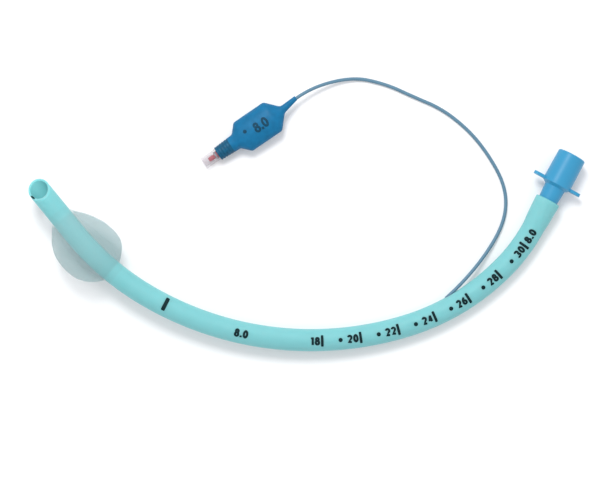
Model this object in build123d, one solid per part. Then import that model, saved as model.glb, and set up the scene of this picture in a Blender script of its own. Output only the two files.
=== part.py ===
from build123d import *
import os
from math import asin, cos, degrees, pi, radians, sin, sqrt, tan

# A cuffed endotracheal tube of 8.0 mm bore with its 15 mm connector and its inflation line.
# Millimetres. It lies on its side on the floor at z = 0, with its bevel facing up.

# The extruded tube, from the patient tip to the machine end
TUBE_R = 5.8
BORE_R = 4.0
TIP_AT = (-139.1, 29.6)
TIP_HEADING = -50.8            # degrees from +X
STRAIGHT = 0.0
TUBE_RUNS = ((36.0, STRAIGHT), (50.0, 138.0), (140.0, 169.0), (60.0, 121.0), (25.0, 90.0))
MOUTH_RUN = 16.0               # straight, stretched over the connector's stem
EXTRUDED = sum(length for length, radius in TUBE_RUNS)
TUBE_LENGTH = EXTRUDED + MOUTH_RUN

# The small inflation lumen in the wall, on the inside of the curve
LUMEN_R = 0.4
LUMEN_OFFSET = 4.9
LUMEN_START = 33.0             # the formed tip closes it
PORT_AT = 47.0                 # its hole into the cuff
PORT_R = 0.6
NOTCH_AT = 250.0               # where the inflation line enters the wall

# The formed tip, with the side eye in the wall opposite the bevel
BEVEL = 45.0                   # degrees between the bevel and the tube's axis
RIM_ROUND = 0.55
EYE_AT = 14.4
EYE_LONG, EYE_WIDE = 9.4, 6.8

# The cuff, a thin film bag bonded round the tube
CUFF_START = 25.0
CUFF_FILM = 0.12
CUFF_LEAN = 9.0                # degrees in its middle: its inner side is further along the tube
COLLAR = 3.5
COLLAR_FILM = 0.22
COLLAR_LAP = 0.3               # of the collar, under the end of the bag
CUFF_PROFILE = ((0.0, 6.1), (3.2, 9.0), (7.2, 12.5), (12.4, 15.3), (19.0, 16.3),
                (25.6, 15.3), (30.8, 12.6), (34.9, 9.0), (38.0, 6.1))
CUFF_SPAN = CUFF_PROFILE[-1][0]

# The 15 mm connector, one moulding, measured from the tube's mouth outwards
STEM_IN = 11.0
STEM_OUT = 7.6
STEM_TIP_R, STEM_MOUTH_R, STEM_ROOT_R = 4.62, 5.2, 5.6
SHOULDER = 1.5
LUG_THICK, LUG_SPAN, LUG_HIGH = 1.6, 27.0, 4.6
CONE_ROOT_R, CONE_END_R, CONE_LENGTH = 7.75, 7.54, 16.0
CONE_RIM = 0.5
GAS_BORE_R = 3.9
CONE_BORE_R, CONE_BORE_DEPTH = 6.2, 13.6
LUG_AT = STEM_OUT + SHOULDER
CONE_AT = LUG_AT + LUG_THICK
CONNECTOR_OUT = CONE_AT + CONE_LENGTH

# Where the tube touches the floor: station and height of its axis there
CUFF_REST = (CUFF_START + 19.0, 16.3)
BELLY_REST = (244.0, TUBE_R)
CONE_REST = (TUBE_LENGTH + CONE_AT, CONE_ROOT_R)

# The inflation line, bonded into the wall, then loose on the floor to the pilot balloon
LINE_R = 0.9
SEAT_OFFSET = 5.3              # from the tube's axis to the middle of the seated end
EXIT_TURN = 13.0               # degrees between the line and the tube's axis
SEAT_LENGTH = 6.4
LINE_ROUTE = ((82.5, -15.9, 6.4), (98.3, 4.6, 1.7), (104.7, 20.4, 0.95), (103.4, 35.6, 0.95),
              (94.1, 52.1, 0.95), (84.0, 64.2, 0.95), (70.5, 74.8, 0.95), (56.1, 80.9, 0.95),
              (41.3, 87.8, 0.95), (23.2, 91.7, 1.1))
ARC_SHARE = 0.45               # of the shorter run, taken by the arc at each corner

# The pilot balloon, along its own axis from its shoulder towards the valve
BALLOON_AT = (-13.3, 73.2)
BALLOON_HEADING = -146.0
BALLOON_HALF = 9.0
BALLOON_FLAT = 0.6             # thickness over width of the pillow
BALLOON_FILM = 0.4
PILLOW = ((-0.6, 1.9), (5.9, BALLOON_HALF), (24.8, BALLOON_HALF), (31.2, 1.9))
PILLOW_ROUND = 2.0
TAIL_LENGTH, TAIL_END_R, TAIL_ROOT_R, TAIL_BORED = 9.8, 1.25, 2.1, 5.0
TAIL_HEADING, TAIL_DIP = 42.0, 6.0
NECK_AT, NECK_END = 26.6, 40.6
NECK_ROOT_R, NECK_R = 4.4, 3.7

# The valve in the balloon's neck, on the same axis
VALVE_END, VALVE_R, VALVE_RIM_R = 49.6, 3.1, 3.3
SPIGOT_AT, SPIGOT_R = 31.8, 2.8
RIM_LENGTH, SHOULDER_LENGTH = 0.9, 1.0
SOCKET_MOUTH_R, SOCKET_DEEP_R = 2.15, 1.96
CHAMBER_R = 2.2
SEAT_AT, SEAT_WALL = 42.6, 1.3
RETAINER_AT, RETAINER_THICK, VENT_R = 33.4, 1.2, 0.9
PUSHER_R, GUIDE_R, PUSHER_TIP = 1.2, 1.3, 46.4
SEAL_R, SEAL_THICK, SEAT_GAP = 1.95, 1.0, 0.05
FLANGE_R, FLANGE_THICK = 1.85, 0.7
PIN_R, PIN_LENGTH = 0.65, 3.4
SPRING_R, SPRING_WIRE_R, SPRING_TURNS = 1.4, 0.16, 5.5


def station(s):
    """Point and heading on the tube's axis, s mm from the tip, in the plane it is curved in."""
    x, y = TIP_AT
    heading = radians(TIP_HEADING)
    for length, radius in TUBE_RUNS + ((MOUTH_RUN + CONNECTOR_OUT, STRAIGHT),):
        step = min(s, length)
        if radius:
            end = heading + step / radius
            x += radius * (sin(end) - sin(heading))
            y += radius * (cos(heading) - cos(end))
            heading = end
        else:
            x += step * cos(heading)
            y += step * sin(heading)
        s -= length
        if s <= 0:
            break
    return x, y, heading


def across(s):
    """Plane square to the tube at s: local x towards the inside of the curve, local y up."""
    x, y, heading = station(s)
    return Plane((x, y, 0), x_dir=(-sin(heading), cos(heading), 0),
                 z_dir=(cos(heading), sin(heading), 0))


def piped(section, first, last):
    """A flat section carried along the tube's axis from one station to another."""
    solid = None
    start = 0.0
    for length, radius in TUBE_RUNS + ((MOUTH_RUN + CONNECTOR_OUT, STRAIGHT),):
        a, b = max(first, start), min(last, start + length)
        start += length
        if b - a < 0.001:
            continue
        frame = across(a)
        if radius:
            pivot = Axis(frame.origin + frame.x_dir * radius, (0, 0, 1))
            piece = revolve(frame * section, pivot, degrees((b - a) / radius))
        else:
            piece = extrude(frame * section, b - a, dir=frame.z_dir)
        solid = piece if solid is None else solid + piece
    return solid


def turned(frame, *points):
    """A solid of revolution about a plane's normal, from (distance along it, radius) points."""
    profile = Plane(frame.origin, x_dir=frame.x_dir, z_dir=frame.x_dir.cross(frame.z_dir))
    face = profile * make_face(Polyline(*[(radius, along) for along, radius in points], close=True))
    return revolve(face, Axis(frame.origin, frame.z_dir), 360)


def rod(place, direction, radius, length):
    """A round bar from a point."""
    return extrude(Plane(place, z_dir=direction) * Circle(radius), length)


def line_seat():
    """Place and direction of the inflation line where it is bonded into the wall."""
    frame = across(NOTCH_AT)
    turn = radians(EXIT_TURN)
    return (frame.origin + frame.x_dir * SEAT_OFFSET,
            frame.z_dir * cos(turn) + frame.x_dir * sin(turn))


def stretched(bore_radius):
    """Outside radius of the wall where the bore is stretched, its section staying the same."""
    return sqrt(TUBE_R ** 2 - BORE_R ** 2 + bore_radius ** 2)


def make_tube():
    """The clear curved tube: bore, flared mouth, bevelled tip, side eye, lumen and notch."""
    mouth = across(EXTRUDED)
    stem_tip = MOUTH_RUN - STEM_IN
    lip = 0.4
    flare = turned(mouth, (0, 0), (0, TUBE_R), (stem_tip, stretched(STEM_TIP_R)),
                   (MOUTH_RUN - lip, stretched(STEM_MOUTH_R)),
                   (MOUTH_RUN, stretched(STEM_MOUTH_R) - lip), (MOUTH_RUN, 0))
    flare_bore = turned(mouth, (0, 0), (0, BORE_R), (stem_tip, STEM_TIP_R),
                        (MOUTH_RUN, STEM_MOUTH_R), (MOUTH_RUN, 0))
    outside = piped(Circle(TUBE_R), 0, EXTRUDED) + flare
    inside = piped(Circle(BORE_R), 0, EXTRUDED) + flare_bore
    tube = outside - inside

    # The bevel takes off everything above a plane that climbs from the lowest point of the tip
    tip = across(0)
    climb = tan(radians(BEVEL))
    side = Plane(tip.origin, x_dir=tip.z_dir, z_dir=tip.z_dir.cross(tip.y_dir))
    run = 2 * TUBE_R / climb + 4
    above = side * make_face(Polyline((-2, -TUBE_R - 2 * climb), (run - 2, TUBE_R + 2 * climb),
                                      (run - 2, 4 * TUBE_R), (-2, 4 * TUBE_R), close=True))
    tube = tube - extrude(above, 2 * TUBE_R, both=True)
    upward = tip.y_dir * cos(radians(BEVEL)) - tip.z_dir * sin(radians(BEVEL))
    rim = [face for face in tube.faces().filter_by(GeomType.PLANE)
           if face.normal_at().dot(upward) > 0.999]
    tube = fillet(rim[0].edges(), RIM_ROUND)

    # The side eye goes through the lower wall only
    beside = across(EYE_AT)
    eye = Plane(beside.origin, x_dir=beside.z_dir, z_dir=(0, 0, -1)) * SlotOverall(
        EYE_LONG, EYE_WIDE)
    tube = tube - extrude(eye, 2 * TUBE_R)

    # The inflation lumen, its port under the cuff and the slanted notch for the line
    lumen = piped(Pos(LUMEN_OFFSET, 0) * Circle(LUMEN_R), LUMEN_START, NOTCH_AT + 1.0)
    at_port = across(PORT_AT)
    port = rod(at_port.origin + at_port.x_dir * LUMEN_OFFSET, at_port.x_dir, PORT_R, TUBE_R)
    place, direction = line_seat()
    notch = rod(place, direction, LINE_R, 3 * SEAT_LENGTH)
    return tube - lumen - port - notch


def make_cuff():
    """The inflated cuff: a film bag along the tube's curve, with a bonded collar at each end."""
    def bag(wall):
        rings = []
        for at, radius in CUFF_PROFILE:
            lean = CUFF_LEAN * sin(pi * at / CUFF_SPAN)
            rings.append(across(CUFF_START + at) * Rot(Y=-lean) * Circle(radius - wall))
        return loft(rings)

    end = CUFF_START + CUFF_SPAN
    collar = Circle(TUBE_R + COLLAR_FILM)
    film = bag(0.0) - bag(CUFF_FILM)
    film = film + piped(collar, CUFF_START - COLLAR, CUFF_START + COLLAR_LAP)
    film = film + piped(collar, end - COLLAR_LAP, end + COLLAR)
    return film - piped(Circle(TUBE_R), CUFF_START - 5, CUFF_START + CUFF_SPAN + 5)


def make_connector():
    """The moulded connector: tapered stem, shoulder with two lugs, and the 15 mm cone."""
    frame = across(TUBE_LENGTH)
    end = CONNECTOR_OUT
    body = turned(frame, (-STEM_IN, 0), (-STEM_IN, STEM_TIP_R), (0, STEM_MOUTH_R),
                  (STEM_OUT, STEM_ROOT_R), (LUG_AT, CONE_ROOT_R), (CONE_AT, CONE_ROOT_R),
                  (end - CONE_RIM, CONE_END_R), (end, CONE_END_R - CONE_RIM), (end, 0))
    lug = Rot(Z=90) * RectangleRounded(LUG_HIGH, LUG_SPAN, LUG_HIGH * 0.45)
    body = body + extrude(frame.offset(LUG_AT) * lug, LUG_THICK)
    return body - turned(frame, (-STEM_IN - 1, 0), (-STEM_IN - 1, GAS_BORE_R),
                         (LUG_AT, GAS_BORE_R), (end - CONE_BORE_DEPTH, CONE_BORE_R),
                         (end + 1, CONE_BORE_R), (end + 1, 0))


def rest_location():
    """Lays the tube's plane on the three places where the tube touches the floor."""
    points = []
    for s, height in (CUFF_REST, BELLY_REST, CONE_REST):
        x, y, heading = station(s)
        points.append(Vector(x, y, height))
    up = (points[1] - points[0]).cross(points[2] - points[0]).normalized()
    level = points[0].dot(up) / up.Z
    return Plane((0, 0, level), x_dir=(1, 0, -up.X / up.Z), z_dir=up).location


def pilot_frame():
    """Plane at the balloon's shoulder, its normal along the balloon's axis to the valve."""
    # It lies on the edge of its pillow and on the valve's rim
    edge_x, edge_r = PILLOW[2]
    lean = asin((edge_r * BALLOON_FLAT - VALVE_RIM_R) / (VALVE_END - edge_x))
    heading = radians(BALLOON_HEADING)
    axis = Vector(cos(heading) * cos(lean), sin(heading) * cos(lean), -sin(lean))
    height = edge_r * BALLOON_FLAT + edge_x * sin(lean) + 0.1
    return Plane((*BALLOON_AT, height), x_dir=(sin(heading), -cos(heading), 0), z_dir=axis)


def tail_direction():
    """The way the balloon's tail points, towards the inflation line."""
    heading, dip = radians(TAIL_HEADING), radians(TAIL_DIP)
    return Vector(cos(heading) * cos(dip), sin(heading) * cos(dip), -sin(dip))


def make_balloon():
    """The blown pilot balloon: a flat six-sided pillow with a neck and a tapered tail."""
    frame = pilot_frame()

    def pillow(wall):
        outline = Polyline((0, PILLOW[0][0] + wall), *[(r - wall, u) for u, r in PILLOW],
                           (0, PILLOW[3][0] - wall), close=True)
        face = make_face(outline)
        corners = face.vertices().sort_by(Axis.X)[-2:]
        face = fillet(corners, PILLOW_ROUND)
        body = revolve(Plane.XZ * face, Axis.Z, 360)
        return frame.location * scale(body, by=(1, BALLOON_FLAT, 1))

    tail = Plane(frame.origin, z_dir=tail_direction())
    skin = pillow(0.0)
    skin = skin + turned(frame, (NECK_AT, 0), (NECK_AT, NECK_ROOT_R), (NECK_END, NECK_R),
                         (NECK_END, 0))
    skin = skin + turned(tail, (-2, 0), (-2, TAIL_ROOT_R), (TAIL_LENGTH, TAIL_END_R),
                         (TAIL_LENGTH, 0))
    air = pillow(BALLOON_FILM)
    air = air + turned(frame, (NECK_AT, 0), (NECK_AT, SPIGOT_R), (NECK_END + 1, SPIGOT_R),
                       (NECK_END + 1, 0))
    air = air + rod(tail.origin, tail.z_dir, LINE_R * 0.6, TAIL_LENGTH)
    sleeve = rod(tail.origin + tail.z_dir * (TAIL_LENGTH - TAIL_BORED), tail.z_dir, LINE_R,
                 TAIL_BORED + 1)
    return skin - air - sleeve


def make_line():
    """The inflation line, with one arc at each corner of its route."""
    start, leaving = line_seat_at_rest()
    tail = Vector(*pilot_frame().origin)
    away = tail_direction()
    points = [start, *[Vector(*point) for point in LINE_ROUTE],
              tail + away * (TAIL_LENGTH + 7), tail + away * (TAIL_LENGTH - TAIL_BORED)]
    radii = []
    for before, corner, after in zip(points, points[1:], points[2:]):
        turn = radians((corner - before).get_angle(after - corner))
        shorter = min((corner - before).length, (after - corner).length)
        radii.append(ARC_SHARE * shorter / tan(turn / 2))
    path = FilletPolyline(*points, radius=radii)
    print("line radii", [round(radius, 1) for radius in radii])
    print("line length", round(path.length, 1), "ends at", start, points[-1])
    line = sweep(Plane(start, z_dir=points[1] - start) * Circle(LINE_R), path=path)
    print("line volume over section", round(line.volume / (pi * LINE_R ** 2), 1))
    return line


def make_valve_housing():
    """The clear valve body: spigot, shoulder, luer socket, seat wall and inner chamber."""
    frame = pilot_frame()
    body = turned(frame, (SPIGOT_AT, 0), (SPIGOT_AT, SPIGOT_R), (NECK_END, SPIGOT_R),
                  (NECK_END, VALVE_RIM_R), (NECK_END + SHOULDER_LENGTH, VALVE_RIM_R),
                  (NECK_END + SHOULDER_LENGTH, VALVE_R), (VALVE_END - RIM_LENGTH, VALVE_R),
                  (VALVE_END - RIM_LENGTH, VALVE_RIM_R), (VALVE_END, VALVE_RIM_R), (VALVE_END, 0))
    socket_at = SEAT_AT + SEAT_WALL
    hollow = turned(frame, (SPIGOT_AT - 1, 0), (SPIGOT_AT - 1, CHAMBER_R), (SEAT_AT, CHAMBER_R),
                    (SEAT_AT, GUIDE_R), (socket_at, GUIDE_R), (socket_at, SOCKET_DEEP_R),
                    (VALVE_END, SOCKET_MOUTH_R), (VALVE_END + 1, SOCKET_MOUTH_R),
                    (VALVE_END + 1, 0))
    return body - hollow


def make_valve_retainer():
    """The vented ring that closes the chamber and carries the spring."""
    end = RETAINER_AT + RETAINER_THICK
    return turned(pilot_frame(), (RETAINER_AT, VENT_R), (RETAINER_AT, CHAMBER_R),
                  (end, CHAMBER_R), (end, VENT_R))


def make_valve_plunger():
    """The red plunger: pusher in the socket, flange behind the seal and a pin in the spring."""
    flange_front = SEAT_AT - SEAT_GAP - SEAL_THICK
    flange_back = flange_front - FLANGE_THICK
    return turned(pilot_frame(), (flange_back - PIN_LENGTH, 0), (flange_back - PIN_LENGTH, PIN_R),
                  (flange_back, PIN_R), (flange_back, FLANGE_R), (flange_front, FLANGE_R),
                  (flange_front, PUSHER_R), (PUSHER_TIP - 0.4, PUSHER_R),
                  (PUSHER_TIP, PUSHER_R - 0.4), (PUSHER_TIP, 0))


def make_valve_seal():
    """The soft ring on the plunger that closes on the seat."""
    front = SEAT_AT - SEAT_GAP
    back = front - SEAL_THICK
    return turned(pilot_frame(), (back, PUSHER_R), (back, SEAL_R), (front - 0.2, SEAL_R),
                  (front, SEAL_R - 0.2), (front, PUSHER_R))


def make_valve_spring():
    """The steel spring between the retainer and the plunger's flange."""
    frame = pilot_frame()
    first = RETAINER_AT + RETAINER_THICK + SPRING_WIRE_R
    last = SEAT_AT - SEAT_GAP - SEAL_THICK - FLANGE_THICK - SPRING_WIRE_R
    pitch = (last - first) / SPRING_TURNS
    coil = Helix(pitch=pitch, height=last - first, radius=SPRING_R)
    wire = Plane(coil @ 0, z_dir=coil % 0) * Circle(SPRING_WIRE_R)
    return frame.location * Pos(0, 0, first) * sweep(wire, path=coil, is_frenet=True)


def line_seat_at_rest():
    """Place and direction of the seated end of the line, in the part's own frame."""
    place, direction = line_seat()
    start = (home * lay * Pos(*place)).position
    ahead = (home * lay * Pos(*(place + direction))).position
    return start, ahead - start


# The tube, cuff and connector are made flat, laid on the floor and centred on the origin
lay = rest_location()
nodes = {"tube": lay * make_tube(), "cuff": lay * make_cuff(), "connector": lay * make_connector()}
boxes = [solid.bounding_box() for solid in nodes.values()]
low = [min(getattr(box.min, axis) for box in boxes) for axis in "XYZ"]
high = [max(getattr(box.max, axis) for box in boxes) for axis in "XYZ"]
home = Pos(-(low[0] + high[0]) / 2, -(low[1] + high[1]) / 2, -low[2])
nodes = {name: home * solid for name, solid in nodes.items()}

# The line, the balloon and the valve lie beside them
nodes["inflation_line"] = make_line()
nodes["pilot_balloon"] = make_balloon()
nodes["valve_housing"] = make_valve_housing()
nodes["valve_retainer"] = make_valve_retainer()
nodes["valve_plunger"] = make_valve_plunger()
nodes["valve_seal"] = make_valve_seal()
nodes["valve_spring"] = make_valve_spring()

os.makedirs("parts", exist_ok=True)
for name, solid in nodes.items():
    export_step(solid, f"parts/{name}.step")
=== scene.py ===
from math import cos, pi, radians, sin, sqrt, tan

import bmesh
import bpy
import numpy as np
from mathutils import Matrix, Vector


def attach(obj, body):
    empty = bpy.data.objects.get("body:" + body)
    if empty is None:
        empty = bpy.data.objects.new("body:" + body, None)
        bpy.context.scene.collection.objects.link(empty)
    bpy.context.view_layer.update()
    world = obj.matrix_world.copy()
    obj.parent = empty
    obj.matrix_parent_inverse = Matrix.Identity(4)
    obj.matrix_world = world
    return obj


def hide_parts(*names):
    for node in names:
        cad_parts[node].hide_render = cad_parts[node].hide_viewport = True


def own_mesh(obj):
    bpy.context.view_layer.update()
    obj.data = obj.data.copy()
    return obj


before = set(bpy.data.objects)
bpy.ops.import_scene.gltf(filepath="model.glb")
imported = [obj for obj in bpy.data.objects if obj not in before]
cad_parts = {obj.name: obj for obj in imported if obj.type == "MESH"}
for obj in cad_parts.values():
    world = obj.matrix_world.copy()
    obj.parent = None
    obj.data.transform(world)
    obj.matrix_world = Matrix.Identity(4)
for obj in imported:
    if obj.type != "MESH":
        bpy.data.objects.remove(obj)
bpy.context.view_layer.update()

# Camera, floor and light.
# A long lens looks almost straight down on the part, over a white table, under one soft
# lamp beyond its far edge and an even white surround.
LOOK_AT = Vector((-0.0039, 0.0061, 0.0001))
CAMERA_ELEVATION = radians(87.0)
CAMERA_DISTANCE = 1.1
LENS = 125.7
SENSOR_WIDTH = 36.0
TABLE_SIZE = 6.0
TABLE_DROP = 0.0001
LAMP_ACROSS = 0.48
LAMP_WATTS = 10.0
LAMP_AT = Vector((-0.17, 0.63, 1.13))

eye = LOOK_AT + CAMERA_DISTANCE * Vector((0, -cos(CAMERA_ELEVATION), sin(CAMERA_ELEVATION)))
camera = bpy.data.objects.new("camera", bpy.data.cameras.new("camera"))
camera.data.lens = LENS
camera.data.sensor_width = SENSOR_WIDTH
camera.data.clip_start = 0.01
camera.location = eye
camera.rotation_euler = (LOOK_AT - eye).to_track_quat("-Z", "Y").to_euler()
bpy.context.collection.objects.link(camera)
bpy.context.scene.camera = camera
bpy.context.scene.view_settings.view_transform = "Standard"


def seen_or_lit(tree, seen, lit):
    """Mixes two shaders: one for what the eye, gloss and clear vinyl see, one for lighting."""
    path = tree.nodes.new("ShaderNodeLightPath")
    first = tree.nodes.new("ShaderNodeMath")
    first.operation = "MAXIMUM"
    second = tree.nodes.new("ShaderNodeMath")
    second.operation = "MAXIMUM"
    mix = tree.nodes.new("ShaderNodeMixShader")
    tree.links.new(path.outputs["Is Camera Ray"], first.inputs[0])
    tree.links.new(path.outputs["Is Glossy Ray"], first.inputs[1])
    tree.links.new(first.outputs[0], second.inputs[0])
    tree.links.new(path.outputs["Is Transmission Ray"], second.inputs[1])
    tree.links.new(second.outputs[0], mix.inputs[0])
    tree.links.new(lit, mix.inputs[1])
    tree.links.new(seen, mix.inputs[2])
    return mix.outputs[0]


world = bpy.data.worlds.new("surround")
bpy.context.scene.world = world
world.use_nodes = True
tree = world.node_tree
tree.nodes.clear()
backdrop = tree.nodes.new("ShaderNodeBackground")
backdrop.inputs["Color"].default_value = (1, 1, 1, 1)
backdrop.inputs["Strength"].default_value = 1.0
surround = tree.nodes.new("ShaderNodeBackground")
surround.inputs["Color"].default_value = (0.97, 0.97, 1.0, 1)
surround.inputs["Strength"].default_value = 0.95
world_out = tree.nodes.new("ShaderNodeOutputWorld")
tree.links.new(seen_or_lit(tree, backdrop.outputs[0], surround.outputs[0]), world_out.inputs[0])

paper = bpy.data.materials.new("white_table")
paper.use_nodes = True
tree = paper.node_tree
tree.nodes.clear()
matte = tree.nodes.new("ShaderNodeBsdfDiffuse")
matte.inputs["Color"].default_value = (0.80, 0.80, 0.80, 1)
lift = tree.nodes.new("ShaderNodeEmission")
lift.inputs["Color"].default_value = (0.985, 0.99, 1.0, 1)
lift.inputs["Strength"].default_value = 0.08
lifted = tree.nodes.new("ShaderNodeAddShader")
tree.links.new(matte.outputs[0], lifted.inputs[0])
tree.links.new(lift.outputs[0], lifted.inputs[1])
table_out = tree.nodes.new("ShaderNodeOutputMaterial")
tree.links.new(seen_or_lit(tree, lifted.outputs[0], matte.outputs[0]), table_out.inputs[0])

bpy.ops.mesh.primitive_plane_add(size=TABLE_SIZE, location=(0, 0, -TABLE_DROP))
table = bpy.context.object
table.name = "table"
table.data.materials.append(paper)

lamp = bpy.data.objects.new("softbox", bpy.data.lights.new("softbox", "AREA"))
lamp.data.shape = "DISK"
lamp.data.size = LAMP_ACROSS
lamp.data.energy = LAMP_WATTS
lamp.location = LAMP_AT
lamp.rotation_euler = (-LAMP_AT).to_track_quat("-Z", "Y").to_euler()
bpy.context.collection.objects.link(lamp)

# Inflation line.
# A thin soft vinyl tube, 1.8 mm across, bonded into a notch in the airway tube's wall. It
# drops to the table, swings round in one loop and rises into the pilot balloon's tail.
LINE_RADIUS = 0.0009
LINE_ROUTE = (
    (0.07208, -0.02523, 0.00625), (0.0825, -0.0159, 0.0064), (0.0983, 0.0046, 0.0017),
    (0.1047, 0.0204, 0.00095), (0.1034, 0.0356, 0.00095), (0.0941, 0.0521, 0.00095),
    (0.0840, 0.0642, 0.00095), (0.0705, 0.0748, 0.00095), (0.0561, 0.0809, 0.00095),
    (0.0413, 0.0878, 0.00095), (0.0232, 0.0917, 0.0011), (-0.00088, 0.08438, 0.00584),
    (-0.00975, 0.07639, 0.0071))
LINE_COLOUR = (0.090, 0.190, 0.268)


def noise(tree, scale):
    """A cloud pattern in the object's own space, scale in features per metre."""
    place = tree.nodes.new("ShaderNodeTexCoord")
    cloud = tree.nodes.new("ShaderNodeTexNoise")
    cloud.inputs["Scale"].default_value = scale
    cloud.inputs["Detail"].default_value = 3.0
    tree.links.new(place.outputs["Object"], cloud.inputs["Vector"])
    return cloud.outputs["Fac"]


def vinyl(name, colour, roughness, shade=0.12, cloud=180.0, bump=0.12, grain=2500.0, **sockets):
    """Moulded or extruded plastic: cloudy colour, faint orange peel and a few fixed sockets."""
    material = bpy.data.materials.new(name)
    material.use_nodes = True
    tree = material.node_tree
    shader = tree.nodes["Principled BSDF"]
    ramp = tree.nodes.new("ShaderNodeMixRGB")
    ramp.inputs["Color1"].default_value = (*[c * (1 - shade) for c in colour], 1)
    ramp.inputs["Color2"].default_value = (*[min(1, c * (1 + shade)) for c in colour], 1)
    tree.links.new(noise(tree, cloud), ramp.inputs["Fac"])
    tree.links.new(ramp.outputs[0], shader.inputs["Base Color"])
    rough = tree.nodes.new("ShaderNodeMapRange")
    rough.inputs["To Min"].default_value = roughness * 0.8
    rough.inputs["To Max"].default_value = roughness * 1.2
    tree.links.new(noise(tree, cloud * 2.3), rough.inputs["Value"])
    tree.links.new(rough.outputs[0], shader.inputs["Roughness"])
    peel = tree.nodes.new("ShaderNodeBump")
    peel.inputs["Strength"].default_value = bump
    peel.inputs["Distance"].default_value = 0.0002
    tree.links.new(noise(tree, grain), peel.inputs["Height"])
    tree.links.new(peel.outputs[0], shader.inputs["Normal"])
    for socket, value in sockets.items():
        shader.inputs[socket.replace("_", " ")].default_value = value
    return material


line_vinyl = vinyl("line_vinyl", LINE_COLOUR, 0.42, cloud=300.0, Specular_IOR_Level=0.3)
line_curve = bpy.data.curves.new("inflation_line", "CURVE")
line_curve.dimensions = "3D"
route = line_curve.splines.new("NURBS")
route.points.add(len(LINE_ROUTE) - 1)
for point, place in zip(route.points, LINE_ROUTE):
    point.co = (*place, 1)
route.order_u = 3
route.use_endpoint_u = True
route.resolution_u = 24
line_curve.bevel_depth = LINE_RADIUS
line_curve.bevel_resolution = 6
line_curve.use_fill_caps = True
line_curve.materials.append(line_vinyl)
inflation_line = bpy.data.objects.new("inflation_tubing", line_curve)
bpy.context.collection.objects.link(inflation_line)
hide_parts("inflation_line")
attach(inflation_line, "root")

# Airway tube.
# One extrusion of clear aqua vinyl, 8.0 mm inside and 11.6 mm outside, thermoformed to its
# curve. Its patient end is cut on the bevel and rolled smooth, with a side eye below.
TUBE_R = 0.0058
BORE_R = 0.0040
TIP_POINT = Vector((-0.14284, 0.03567, 0.0199))
TIP_ALONG = Vector((0.6291, -0.7731, -0.0806)).normalized()
TUBE_UP = Vector((0.0440, -0.0681, 0.9967))
TUBE_UP = (TUBE_UP - TUBE_UP.dot(TIP_ALONG) * TIP_ALONG).normalized()
TUBE_RUNS = ((0.036, 0.0), (0.050, 0.138), (0.140, 0.169), (0.060, 0.121), (0.025, 0.090),
             (0.080, 0.0))
EXTRUDED = 0.311
TUBE_LENGTH = 0.327
STEM_TIP_AT = 0.316
STEM_TIP_R, MOUTH_R = 0.00463, 0.00521
MOUTH_ROUND = 0.0004
BEVEL = radians(45.0)
BEVEL_OFFSET = 0.0005
LIP = 0.00055
LIP_STEPS = 9
TIP_BORE_R = 0.0047
TUBE_COLOUR = (0.180, 0.475, 0.490)
# A darker teal painted on the bore's faces as shade inside the tube
BORE_PAINTED_SHADE_COLOUR = (0.125, 0.395, 0.410)
AROUND = 72


def tube_frame(s):
    """Point on the tube's axis s metres from the tip, with its along and inward directions."""
    s = float(s)
    point, along = TIP_POINT.copy(), TIP_ALONG.copy()
    for length, radius in TUBE_RUNS:
        step = min(s, length)
        inward = TUBE_UP.cross(along)
        if radius:
            turn = step / radius
            point = point + radius * (sin(turn) * along + (1 - cos(turn)) * inward)
            along = cos(turn) * along + sin(turn) * inward
        else:
            point = point + step * along
        s -= length
        if s <= 0:
            break
    return point, along, TUBE_UP.cross(along)


def on_tube(s, angle, radius):
    """A point round the tube: angle 0 is the inside of the curve, a quarter turn is up."""
    point, along, inward = tube_frame(s)
    return point + float(radius) * (cos(angle) * inward + sin(angle) * TUBE_UP)


def mesh_object(name, points, faces, materials):
    """Links a smooth mesh made of points and faces, with its normals outwards."""
    mesh = bpy.data.meshes.new(name)
    mesh.from_pydata([tuple(p) for p in points], [], faces)
    model = bmesh.new()
    model.from_mesh(mesh)
    bmesh.ops.recalc_face_normals(model, faces=model.faces)
    model.to_mesh(mesh)
    model.free()
    for material in materials:
        mesh.materials.append(material)
    mesh.polygons.foreach_set("use_smooth", [True] * len(mesh.polygons))
    made = bpy.data.objects.new(name, mesh)
    bpy.context.collection.objects.link(made)
    return made


def ring_faces(rings, around, closed):
    """Quads between rings of points, and from the last ring back to the first if closed."""
    faces = []
    for i in range(rings if closed else rings - 1):
        low, high = i * around, ((i + 1) % rings) * around
        for j in range(around):
            k = (j + 1) % around
            faces.append((low + j, low + k, high + k, high + j))
    return faces


def plug_faces(around):
    """The faces of a closed plug: quads between two rings of points, and a cap on each."""
    caps = [tuple(range(around)), tuple(range(2 * around - 1, around - 1, -1))]
    return ring_faces(2, around, False) + caps


def inside_radius(s):
    """The bore is straight as extruded and widens where the connector's stem stretches it."""
    return float(np.interp(s, (EXTRUDED, STEM_TIP_AT, TUBE_LENGTH), (BORE_R, STEM_TIP_R, MOUTH_R)))


def outside_radius(s):
    """The wall keeps its section where the bore is stretched over the connector's stem."""
    return sqrt(TUBE_R ** 2 - BORE_R ** 2 + inside_radius(s) ** 2)


def bevel_start(angle, radius):
    """How far along the tube the slanted cut lies, at an angle and a radius."""
    return (radius * sin(angle) + TUBE_R) / tan(BEVEL) + BEVEL_OFFSET


angles = [2 * pi * j / AROUND for j in range(AROUND)]
CUT_END = 0.020
tip_steps = [(i / 16) ** 1.5 for i in range(1, 17)]
shaft = (list(np.linspace(CUT_END, EXTRUDED, 240)[1:])
         + list(np.linspace(EXTRUDED, TUBE_LENGTH - MOUTH_ROUND, 16)[1:]))
lip_middle, lip_half = (TUBE_R + TIP_BORE_R) / 2, (TUBE_R - TIP_BORE_R) / 2
points = []


def add_ring(place):
    """Adds one ring of points, each placed by its angle round the tube."""
    points.extend(place(a) for a in angles)


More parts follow.
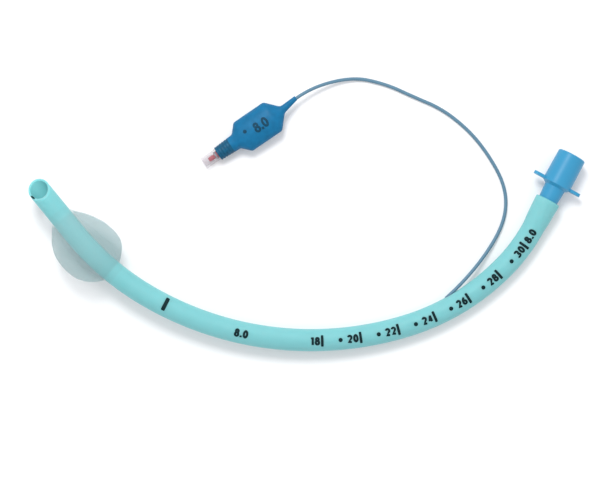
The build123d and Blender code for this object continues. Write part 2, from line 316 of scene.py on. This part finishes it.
def behind_lip(a, radius, share):
    """How far along a point lies, a share of the way from the rolled lip to the shaft."""
    lip_end = bevel_start(a, radius) + LIP
    return lip_end + share * (CUT_END - lip_end)


def lip_point(a, roll):
    """A point on the rolled lip, from its outside at roll 0 to its inside at half a turn."""
    radius = lip_middle + lip_half * np.sign(cos(roll)) * abs(cos(roll)) ** 0.7
    return on_tube(bevel_start(a, radius) + LIP * (1 - sin(roll) ** 0.7), a, radius)


for s in reversed(shaft):
    add_ring(lambda a, s=s: on_tube(s, a, outside_radius(s)))
for share in reversed(tip_steps):
    add_ring(lambda a, share=share: on_tube(behind_lip(a, TUBE_R, share), a, TUBE_R))
for k in range(LIP_STEPS):
    add_ring(lambda a, roll=pi * k / (LIP_STEPS - 1): lip_point(a, roll))
for share in tip_steps:
    add_ring(lambda a, share=share: on_tube(behind_lip(a, TIP_BORE_R, share), a,
                                            TIP_BORE_R + share * (BORE_R - TIP_BORE_R)))
for s in shaft:
    add_ring(lambda a, s=s: on_tube(s, a, inside_radius(s)))
add_ring(lambda a: on_tube(TUBE_LENGTH, a, inside_radius(TUBE_LENGTH)))
add_ring(lambda a: on_tube(TUBE_LENGTH, a, outside_radius(TUBE_LENGTH) - MOUTH_ROUND))

tube_vinyl = vinyl("tube_vinyl", TUBE_COLOUR, 0.50, shade=0.03, cloud=120.0, bump=0.04,
                   Subsurface_Weight=0.6, Subsurface_Scale=0.005, Specular_IOR_Level=0.25)
tube_vinyl.node_tree.nodes["Principled BSDF"].inputs["Subsurface Radius"].default_value = (
    0.6, 1.0, 1.0)
# The bore's faces get a darker teal, painted shade inside the tube, and a faint emission of the
# same teal, a painted glow
bore_painted_shade_and_glow = vinyl("bore_painted_shade_and_glow", BORE_PAINTED_SHADE_COLOUR, 0.60, shade=0.05, cloud=120.0, bump=0.04,
                   Specular_IOR_Level=0.15, Emission_Color=(*BORE_PAINTED_SHADE_COLOUR, 1),
                   Emission_Strength=0.16)
airway = mesh_object("airway_tube", points, ring_faces(len(points) // AROUND, AROUND, True),
                     [tube_vinyl, bore_painted_shade_and_glow])
# The inner faces take the painted shade and glow material
first_inside = (len(shaft) + len(tip_steps) + LIP_STEPS - 2) * AROUND
for face in airway.data.polygons[first_inside:]:
    face.material_index = 1


def cut(target, cutter):
    """Takes a cutter's shape out of a piece and deletes the cutter."""
    boolean = target.modifiers.new("cut", "BOOLEAN")
    boolean.operation = "DIFFERENCE"
    boolean.solver = "EXACT"
    boolean.object = cutter
    bpy.context.view_layer.objects.active = target
    bpy.ops.object.modifier_apply(modifier="cut")
    bpy.data.objects.remove(cutter)


# The side eye is an oval through the lower wall, a little behind the bevel
EYE_AT = 0.0149
EYE_HALF_LONG, EYE_HALF_WIDE = 0.0041, 0.0034
EYE_AROUND = 48
EYE_CUT = (0.0015, 0.0080)
point, along, inward = tube_frame(EYE_AT)
straight = EYE_HALF_LONG - EYE_HALF_WIDE
eye_points = []
for depth in EYE_CUT:
    for j in range(EYE_AROUND):
        a = 2 * pi * j / EYE_AROUND
        along_eye = EYE_HALF_WIDE * cos(a) + straight * (1 if cos(a) > 0 else -1)
        eye_points.append(point + along_eye * along + EYE_HALF_WIDE * sin(a) * inward
                          - depth * TUBE_UP)
cut(airway, mesh_object("eye_cutter", eye_points, plug_faces(EYE_AROUND), []))

# The notch for the inflation line is skived at a slant through the wall
NOTCH_R, NOTCH_REACH, NOTCH_AROUND = 0.00094, 0.016, 24
seat = Vector(LINE_ROUTE[0])
ahead = (Vector(LINE_ROUTE[1]) - seat).normalized()
across_line = ahead.cross(TUBE_UP).normalized()
over_line = across_line.cross(ahead)
notch_points = []
for reach in (0.0, NOTCH_REACH):
    for j in range(NOTCH_AROUND):
        a = 2 * pi * j / NOTCH_AROUND
        notch_points.append(seat + reach * ahead
                            + NOTCH_R * (cos(a) * across_line + sin(a) * over_line))
cut(airway, mesh_object("notch_cutter", notch_points, plug_faces(NOTCH_AROUND), []))
airway.data.polygons.foreach_set("use_smooth", [True] * len(airway.data.polygons))
airway.data.set_sharp_from_angle(angle=radians(40))
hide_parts("tube")
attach(airway, "root")

# Depth marks.
# Black-green ink, pad printed on the upper side of the tube: a bar every two centimetres
# with its number before it and a dot between, and one broad band for the vocal cords.
INK_COLOUR = (0.002, 0.016, 0.019)
PRINT_ANGLE = radians(92.0)
INK_LIFT = 0.00003
INK_THICK = 0.00002
PRINT_SLICE = 0.0004
ink = vinyl("print_ink", INK_COLOUR, 0.7, shade=0.3, cloud=900.0, bump=0.05,
            Specular_IOR_Level=0.15)


def printed(name, flat, place, material):
    """Lays a flat thin mesh on a curved surface; place turns its x, y and z into a point."""
    model = bmesh.new()
    model.from_mesh(flat)
    low = min(v.co.y for v in model.verts)
    high = max(v.co.y for v in model.verts)
    slices = max(2, int((high - low) / PRINT_SLICE))
    for k in range(1, slices):
        y = low + (high - low) * k / slices
        bmesh.ops.bisect_plane(model, geom=model.verts[:] + model.edges[:] + model.faces[:],
                               plane_co=(0, y, 0), plane_no=(0, 1, 0))
    for v in model.verts:
        v.co = place(*v.co)
    bmesh.ops.recalc_face_normals(model, faces=model.faces)
    mesh = bpy.data.meshes.new(name)
    model.to_mesh(mesh)
    model.free()
    mesh.materials.append(material)
    made = bpy.data.objects.new(name, mesh)
    bpy.context.collection.objects.link(made)
    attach(made, "root")
    return made


def on_wall(s, angle=PRINT_ANGLE):
    """Turns a place in the print into a point on the tube, x along it and y to the inside."""
    return lambda x, y, z: on_tube(s + x, angle - y / TUBE_R, TUBE_R + INK_LIFT + z)


def oval(x, y, wide, high, first=0.0, last=360.0):
    """Points on an oval's outline between two angles in degrees."""
    turns = [radians(first + (last - first) * k / 24) for k in range(25)]
    return [(x + wide * cos(a), y + high * sin(a)) for a in turns]


# Each figure is drawn by the middle of a broad pen, in a cell half as wide as it is high
FIGURES = {
    "0": [oval(0.25, 0.5, 0.25, 0.5)],
    "1": [[(0.26, 1.11), (0.26, 0.5), (0.26, -0.11)], [(0.0, 0.86), (0.13, 0.93), (0.26, 1.02)]],
    "2": [oval(0.25, 0.73, 0.25, 0.27, 165, -35) + [(0.0, 0.0), (0.25, 0.0), (0.5, 0.0)]],
    "3": [oval(0.23, 0.75, 0.25, 0.25, 150, -90), oval(0.23, 0.25, 0.27, 0.26, 90, -150)],
    "4": [[(0.52, 0.27), (0.25, 0.27), (0.0, 0.27), (0.18, 0.63), (0.36, 1.0)],
          [(0.36, 1.0), (0.36, 0.5), (0.36, 0.0)]],
    "6": [oval(0.25, 0.28, 0.25, 0.28), oval(0.52, 0.30, 0.52, 0.70, 98, 180)],
    "8": [oval(0.25, 0.77, 0.20, 0.23), oval(0.25, 0.26, 0.25, 0.28)],
    ".": [[(0.0, -0.12), (0.0, 0.03), (0.0, 0.18)]],
}
FIGURE_WIDTHS = {"1": 0.30, ".": 0.0}


def figures(text, height, pen):
    """A flat mesh of figures whose right edge is at x = 0, centred in y."""
    curve = bpy.data.curves.new("figures", "CURVE")
    curve.dimensions = "3D"
    curve.bevel_depth = pen
    curve.bevel_resolution = 2
    curve.use_fill_caps = True
    tall = height - 2 * pen
    widths = [FIGURE_WIDTHS.get(figure, 0.5) * tall + 2.4 * pen for figure in text]
    x = -sum(widths) + 1.4 * pen
    for figure, width in zip(text, widths):
        for stroke in FIGURES[figure]:
            closed = (Vector(stroke[0]) - Vector(stroke[-1])).length < 0.001
            places = stroke[:-1] if closed else stroke
            spline = curve.splines.new("POLY")
            spline.points.add(len(places) - 1)
            for point, (across, up) in zip(spline.points, places):
                point.co = (x + across * tall, (up - 0.5) * tall, 0, 1)
            spline.use_cyclic_u = closed
        x += width
    drawn = bpy.data.objects.new("figures", curve)
    bpy.context.collection.objects.link(drawn)
    flat = bpy.data.meshes.new_from_object(drawn)
    bpy.data.objects.remove(drawn)
    for v in flat.vertices:
        v.co.z *= INK_THICK / pen
    return flat


BAR, DOT = 0.25, 1.0
BLOCK_AROUND = 32


def block(width, height, power=BAR):
    """A flat bar with small round corners or, with the power of a dot, an oval."""
    model = bmesh.new()
    corners = []
    for k in range(BLOCK_AROUND):
        a = 2 * pi * k / BLOCK_AROUND
        corners.append((width / 2 * np.sign(cos(a)) * abs(cos(a)) ** power,
                        height / 2 * np.sign(sin(a)) * abs(sin(a)) ** power))
    low = [model.verts.new((x, y, -INK_THICK)) for x, y in corners]
    top = [model.verts.new((x, y, INK_THICK)) for x, y in corners]
    model.faces.new(top)
    model.faces.new(low[::-1])
    for j in range(BLOCK_AROUND):
        k = (j + 1) % BLOCK_AROUND
        model.faces.new((low[j], low[k], top[k], top[j]))
    flat = bpy.data.meshes.new("block")
    model.to_mesh(flat)
    model.free()
    return flat


FIGURE_HIGH, PEN = 0.0045, 0.00060
BAR_SIZE, BAND_SIZE, DOT_ACROSS = (0.0014, 0.0062), (0.0021, 0.0076), 0.0022
NUMBER_GAP, DOT_STEP = 0.0011, 0.0095
BAND_AT, BAND_TURN = 0.0957, 0.22
BORE_FIGURES_AT = {"bore_figure": 0.1415, "bore_figure_upper": 0.3095}
for depth in range(18, 31, 2):
    s = depth * 0.01
    printed(f"depth_bar_{depth}", block(*BAR_SIZE), on_wall(s), ink)
    printed(f"depth_number_{depth}", figures(str(depth), FIGURE_HIGH, PEN),
            on_wall(s - NUMBER_GAP), ink)
    if depth < 30:
        printed(f"depth_dot_{depth + 1}", block(DOT_ACROSS, DOT_ACROSS, DOT),
                on_wall(s + DOT_STEP), ink)
printed("cord_band", block(*BAND_SIZE), on_wall(BAND_AT, PRINT_ANGLE - BAND_TURN), ink)
for name, s in BORE_FIGURES_AT.items():
    printed(name, figures("8.0", FIGURE_HIGH, PEN), on_wall(s), ink)

# The barium thread in the wall shows as a dark spot where the bevel cuts it
THREAD_AT, THREAD_ANGLE = 0.00515, pi - 0.30
THREAD_R, THREAD_FLAT = 0.0013, 0.33
THREAD_REACH = (-0.00012, 0.008)
THREAD_AROUND = 24
points = []
for reach in THREAD_REACH:
    for j in range(THREAD_AROUND):
        a = 2 * pi * j / THREAD_AROUND
        radius = THREAD_AT + THREAD_FLAT * THREAD_R * cos(a)
        angle = THREAD_ANGLE + THREAD_R * sin(a) / THREAD_AT
        points.append(on_tube(bevel_start(angle, radius) + reach, angle, radius))
thread = mesh_object("opaque_thread", points, plug_faces(THREAD_AROUND), [ink])
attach(thread, "root")

# Cuff.
# A bag of thin frosted film, blown to a barrel, slipped over the tube and bonded to it by a
# narrow collar at each end. It is inflated and carries the tip clear of the table.
CUFF_START = 0.025
CUFF_SPAN = 0.038
TABLE_GAP = 0.00006
CUFF_FILM = 0.00012
CUFF_LEAN = tan(radians(6.0))
CUFF_DRIFT = 0.0029
CUFF_COLOUR = (0.40, 0.56, 0.57)
CUFF_RINGS, CUFF_AROUND = 90, 96
COLLAR_R, SWELL_R = 0.0062, 0.0101
PLEAT = 0.00022
VEIL_THIN, VEIL_MILKY = 0.03, 0.42
CUFF_PROFILE = ((-0.0035, 0.00602), (-0.0006, 0.00602), (0.0, 0.0061), (0.0030, 0.0094),
                (0.0070, 0.0129), (0.0122, 0.0155), (0.0190, 0.0163), (0.0258, 0.0155),
                (0.0310, 0.0129), (0.0351, 0.0094), (0.0380, 0.0061), (0.0386, 0.00602),
                (0.0415, 0.00602))


def smooth_profile(knots, count, softness):
    """A run of (place, radius) samples through the knots, with their corners eased."""
    places = np.linspace(knots[0][0], knots[-1][0], count)
    radii = np.interp(places, [k[0] for k in knots], [k[1] for k in knots])
    step = places[1] - places[0]
    reach = int(3 * softness / step)
    window = np.exp(-0.5 * (np.arange(-reach, reach + 1) * step / softness) ** 2)
    padded = np.concatenate([np.full(reach, radii[0]), radii, np.full(reach, radii[-1])])
    return places.tolist(), np.convolve(padded, window / window.sum(), "valid").tolist()


places, radii = smooth_profile(CUFF_PROFILE, CUFF_RINGS, 0.0011)
points = []
blown = []
for wall, order in ((0.0, range(CUFF_RINGS)), (CUFF_FILM, reversed(range(CUFF_RINGS)))):
    for i in order:
        swell = max(0.0, (radii[i] - COLLAR_R) / SWELL_R)
        pleat = PLEAT * swell * (1 - swell) * 4
        arch = sin(pi * min(1.0, max(0.0, places[i] / CUFF_SPAN))) ** 0.8
        for j in range(CUFF_AROUND):
            a = 2 * pi * j / CUFF_AROUND
            ripple = pleat * (sin(11 * a + 0.7) * 0.6 + sin(17 * a + 2.1) * 0.4)
            radius = max(radii[i] - wall, TUBE_R + 0.00004) + ripple
            shift = arch * (CUFF_DRIFT + CUFF_LEAN * radius * cos(a))
            point = on_tube(CUFF_START + places[i] + shift, a, radius)
            point.z = max(point.z, TABLE_GAP + wall)
            points.append(point)
            blown.append(min(1.0, swell * 6) * (0.62 - 0.38 * sin(a)))
cuff_film = vinyl("cuff_film", CUFF_COLOUR, 0.60, shade=0.05, cloud=90.0, bump=0.0,
                  Specular_IOR_Level=0.15)
cuff = mesh_object("cuff_bag", points, ring_faces(2 * CUFF_RINGS, CUFF_AROUND, True),
                   [cuff_film])

# The collars are welded clear. The film turns milky where it leaves the tube, more below
milk = cuff.data.color_attributes.new("milk", "FLOAT_COLOR", "POINT")
for vertex, share in zip(milk.data, blown):
    vertex.color = (share, share, share, 1)
tree = cuff_film.node_tree
milky = tree.nodes.new("ShaderNodeAttribute")
milky.attribute_name = "milk"
veil = tree.nodes.new("ShaderNodeMapRange")
veil.inputs["To Min"].default_value = VEIL_THIN
veil.inputs["To Max"].default_value = VEIL_MILKY
tree.links.new(milky.outputs["Fac"], veil.inputs["Value"])
tree.links.new(veil.outputs[0], tree.nodes["Principled BSDF"].inputs["Alpha"])
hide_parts("cuff")
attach(cuff, "root")

# Connector.
# One blue moulding in a hard plastic: a tapered stem pushed into the stretched mouth of the
# tube, a shoulder with two finger lugs, and the tapered 15 mm barrel.
CONNECTOR_COLOUR = (0.028, 0.250, 0.440)
hard_blue = vinyl("connector_blue", CONNECTOR_COLOUR, 0.36, shade=0.06, cloud=60.0, bump=0.04,
                  Specular_IOR_Level=0.35)


def finish_node(name, material):
    """Gives a piece from the frame its finish, smooth but for its edges."""
    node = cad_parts[name]
    node.data.materials.clear()
    node.data.materials.append(material)
    node.data.polygons.foreach_set("use_smooth", [True] * len(node.data.polygons))
    node.data.set_sharp_from_angle(angle=radians(30))


finish_node("connector", hard_blue)

# Pilot balloon.
# A small pillow blown from deep blue clear vinyl, six-sided in outline, with a tapered tail
# bonded over the inflation line and a neck gripped round the valve.
BALLOON_AT = Vector((-0.0133, 0.0732, 0.0076))
BALLOON_ALONG = Vector((-0.82606, -0.55718, -0.08468)).normalized()
TAIL_ALONG = Vector((0.7391, 0.6655, -0.1045)).normalized()
BALLOON_SIDE = BALLOON_ALONG.cross(Vector((0, 0, 1))).normalized()
BALLOON_UP = BALLOON_SIDE.cross(BALLOON_ALONG).normalized()
BALLOON_COLOUR = (0.001, 0.125, 0.270)
NECK_COLOUR = (0.002, 0.075, 0.150)
WIDTHS = ((-0.0098, 0.00125), (-0.0010, 0.0020), (0.0000, 0.0024), (0.0059, 0.0090),
          (0.0248, 0.0090), (0.0290, 0.0043), (0.0406, 0.0037))
DEPTHS = ((-0.0098, 0.00125), (-0.0010, 0.0020), (0.0010, 0.0024), (0.0062, 0.0050),
          (0.0115, 0.0054), (0.0195, 0.0054), (0.0248, 0.0050), (0.0290, 0.0042),
          (0.0406, 0.0037))
NECK_DARK = 0.0325
RIB_HIGH, RIB_STEP = 0.00010, 0.0016
BALLOON_WALL = 0.0004
BALLOON_RINGS, BALLOON_AROUND = 160, 72
places, widths = smooth_profile(WIDTHS, BALLOON_RINGS, 0.0005)
depths = smooth_profile(DEPTHS, BALLOON_RINGS, 0.0010)[1]
points = []
for wall, order in ((0.0, range(BALLOON_RINGS)),
                    (BALLOON_WALL, reversed(range(BALLOON_RINGS)))):
    for i in order:
        u = places[i]
        rib = RIB_HIGH * sin(2 * pi * u / RIB_STEP) if u > NECK_DARK else 0.0
        centre = BALLOON_AT + (-u * TAIL_ALONG if u < 0 else u * BALLOON_ALONG)
        for j in range(BALLOON_AROUND):
            a = 2 * pi * j / BALLOON_AROUND
            points.append(centre + (widths[i] + rib - wall) * cos(a) * BALLOON_SIDE
                          + (depths[i] + rib - wall) * sin(a) * BALLOON_UP)
balloon_vinyl = vinyl("balloon_vinyl", BALLOON_COLOUR, 0.50, shade=0.25, cloud=330.0, bump=0.10,
                      grain=420.0, Specular_IOR_Level=0.2)
neck_vinyl = vinyl("neck_vinyl", NECK_COLOUR, 0.45, shade=0.5, cloud=700.0,
                   Specular_IOR_Level=0.2)
balloon = mesh_object("pilot_pillow", points,
                      ring_faces(2 * BALLOON_RINGS, BALLOON_AROUND, True),
                      [balloon_vinyl, neck_vinyl])
for face in balloon.data.polygons:
    if (face.center - BALLOON_AT).dot(BALLOON_ALONG) > NECK_DARK:
        face.material_index = 1
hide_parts("pilot_balloon")
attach(balloon, "root")


def on_pillow(along, aside):
    """Turns a place in the print into a point on the pillow's upper side."""
    def place(x, y, z):
        u, v = along - x, aside - y
        wide, deep = float(np.interp(u, places, widths)), float(np.interp(u, places, depths))
        rise = deep * sqrt(max(0.0, 1 - (v / wide) ** 2))
        return (BALLOON_AT + u * BALLOON_ALONG - v * BALLOON_SIDE
                + (rise + INK_LIFT + z) * BALLOON_UP)
    return place


BALLOON_INK = (0.004, 0.045, 0.085)
BALLOON_FIGURE_HIGH, BALLOON_FIGURE_AT = 0.0056, (0.0090, 0.0005)
BALLOON_DOT, BALLOON_DOT_AT = 0.0020, (0.0222, -0.0012)
balloon_ink = vinyl("balloon_ink", BALLOON_INK, 0.6, shade=0.5, cloud=900.0,
                    Specular_IOR_Level=0.15)
printed("balloon_figure", figures("8.0", BALLOON_FIGURE_HIGH, PEN),
        on_pillow(*BALLOON_FIGURE_AT), balloon_ink)
printed("balloon_dot", block(BALLOON_DOT, BALLOON_DOT, DOT), on_pillow(*BALLOON_DOT_AT),
        balloon_ink)

# Valve.
# A clear moulded housing with a luer socket, bonded in the balloon's neck. A red plunger
# with a soft seal is held on its seat by a steel spring against a vented ring.
finish_node("valve_housing", vinyl("valve_clear", (0.42, 0.36, 0.41), 0.30, shade=0.08,
                                   cloud=700.0, Alpha=0.17))
finish_node("valve_retainer", vinyl("retainer_clear", (0.70, 0.70, 0.72), 0.30, shade=0.02,
                                    Alpha=0.45))
finish_node("valve_plunger", vinyl("plunger_red", (0.42, 0.006, 0.018), 0.50,
                                   Specular_IOR_Level=0.2))
finish_node("valve_seal", vinyl("seal_rubber", (0.22, 0.22, 0.24), 0.6))
finish_node("valve_spring", vinyl("spring_steel", (0.55, 0.55, 0.57), 0.3, Metallic=1.0))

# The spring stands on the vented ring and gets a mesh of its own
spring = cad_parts["valve_spring"]
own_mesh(spring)
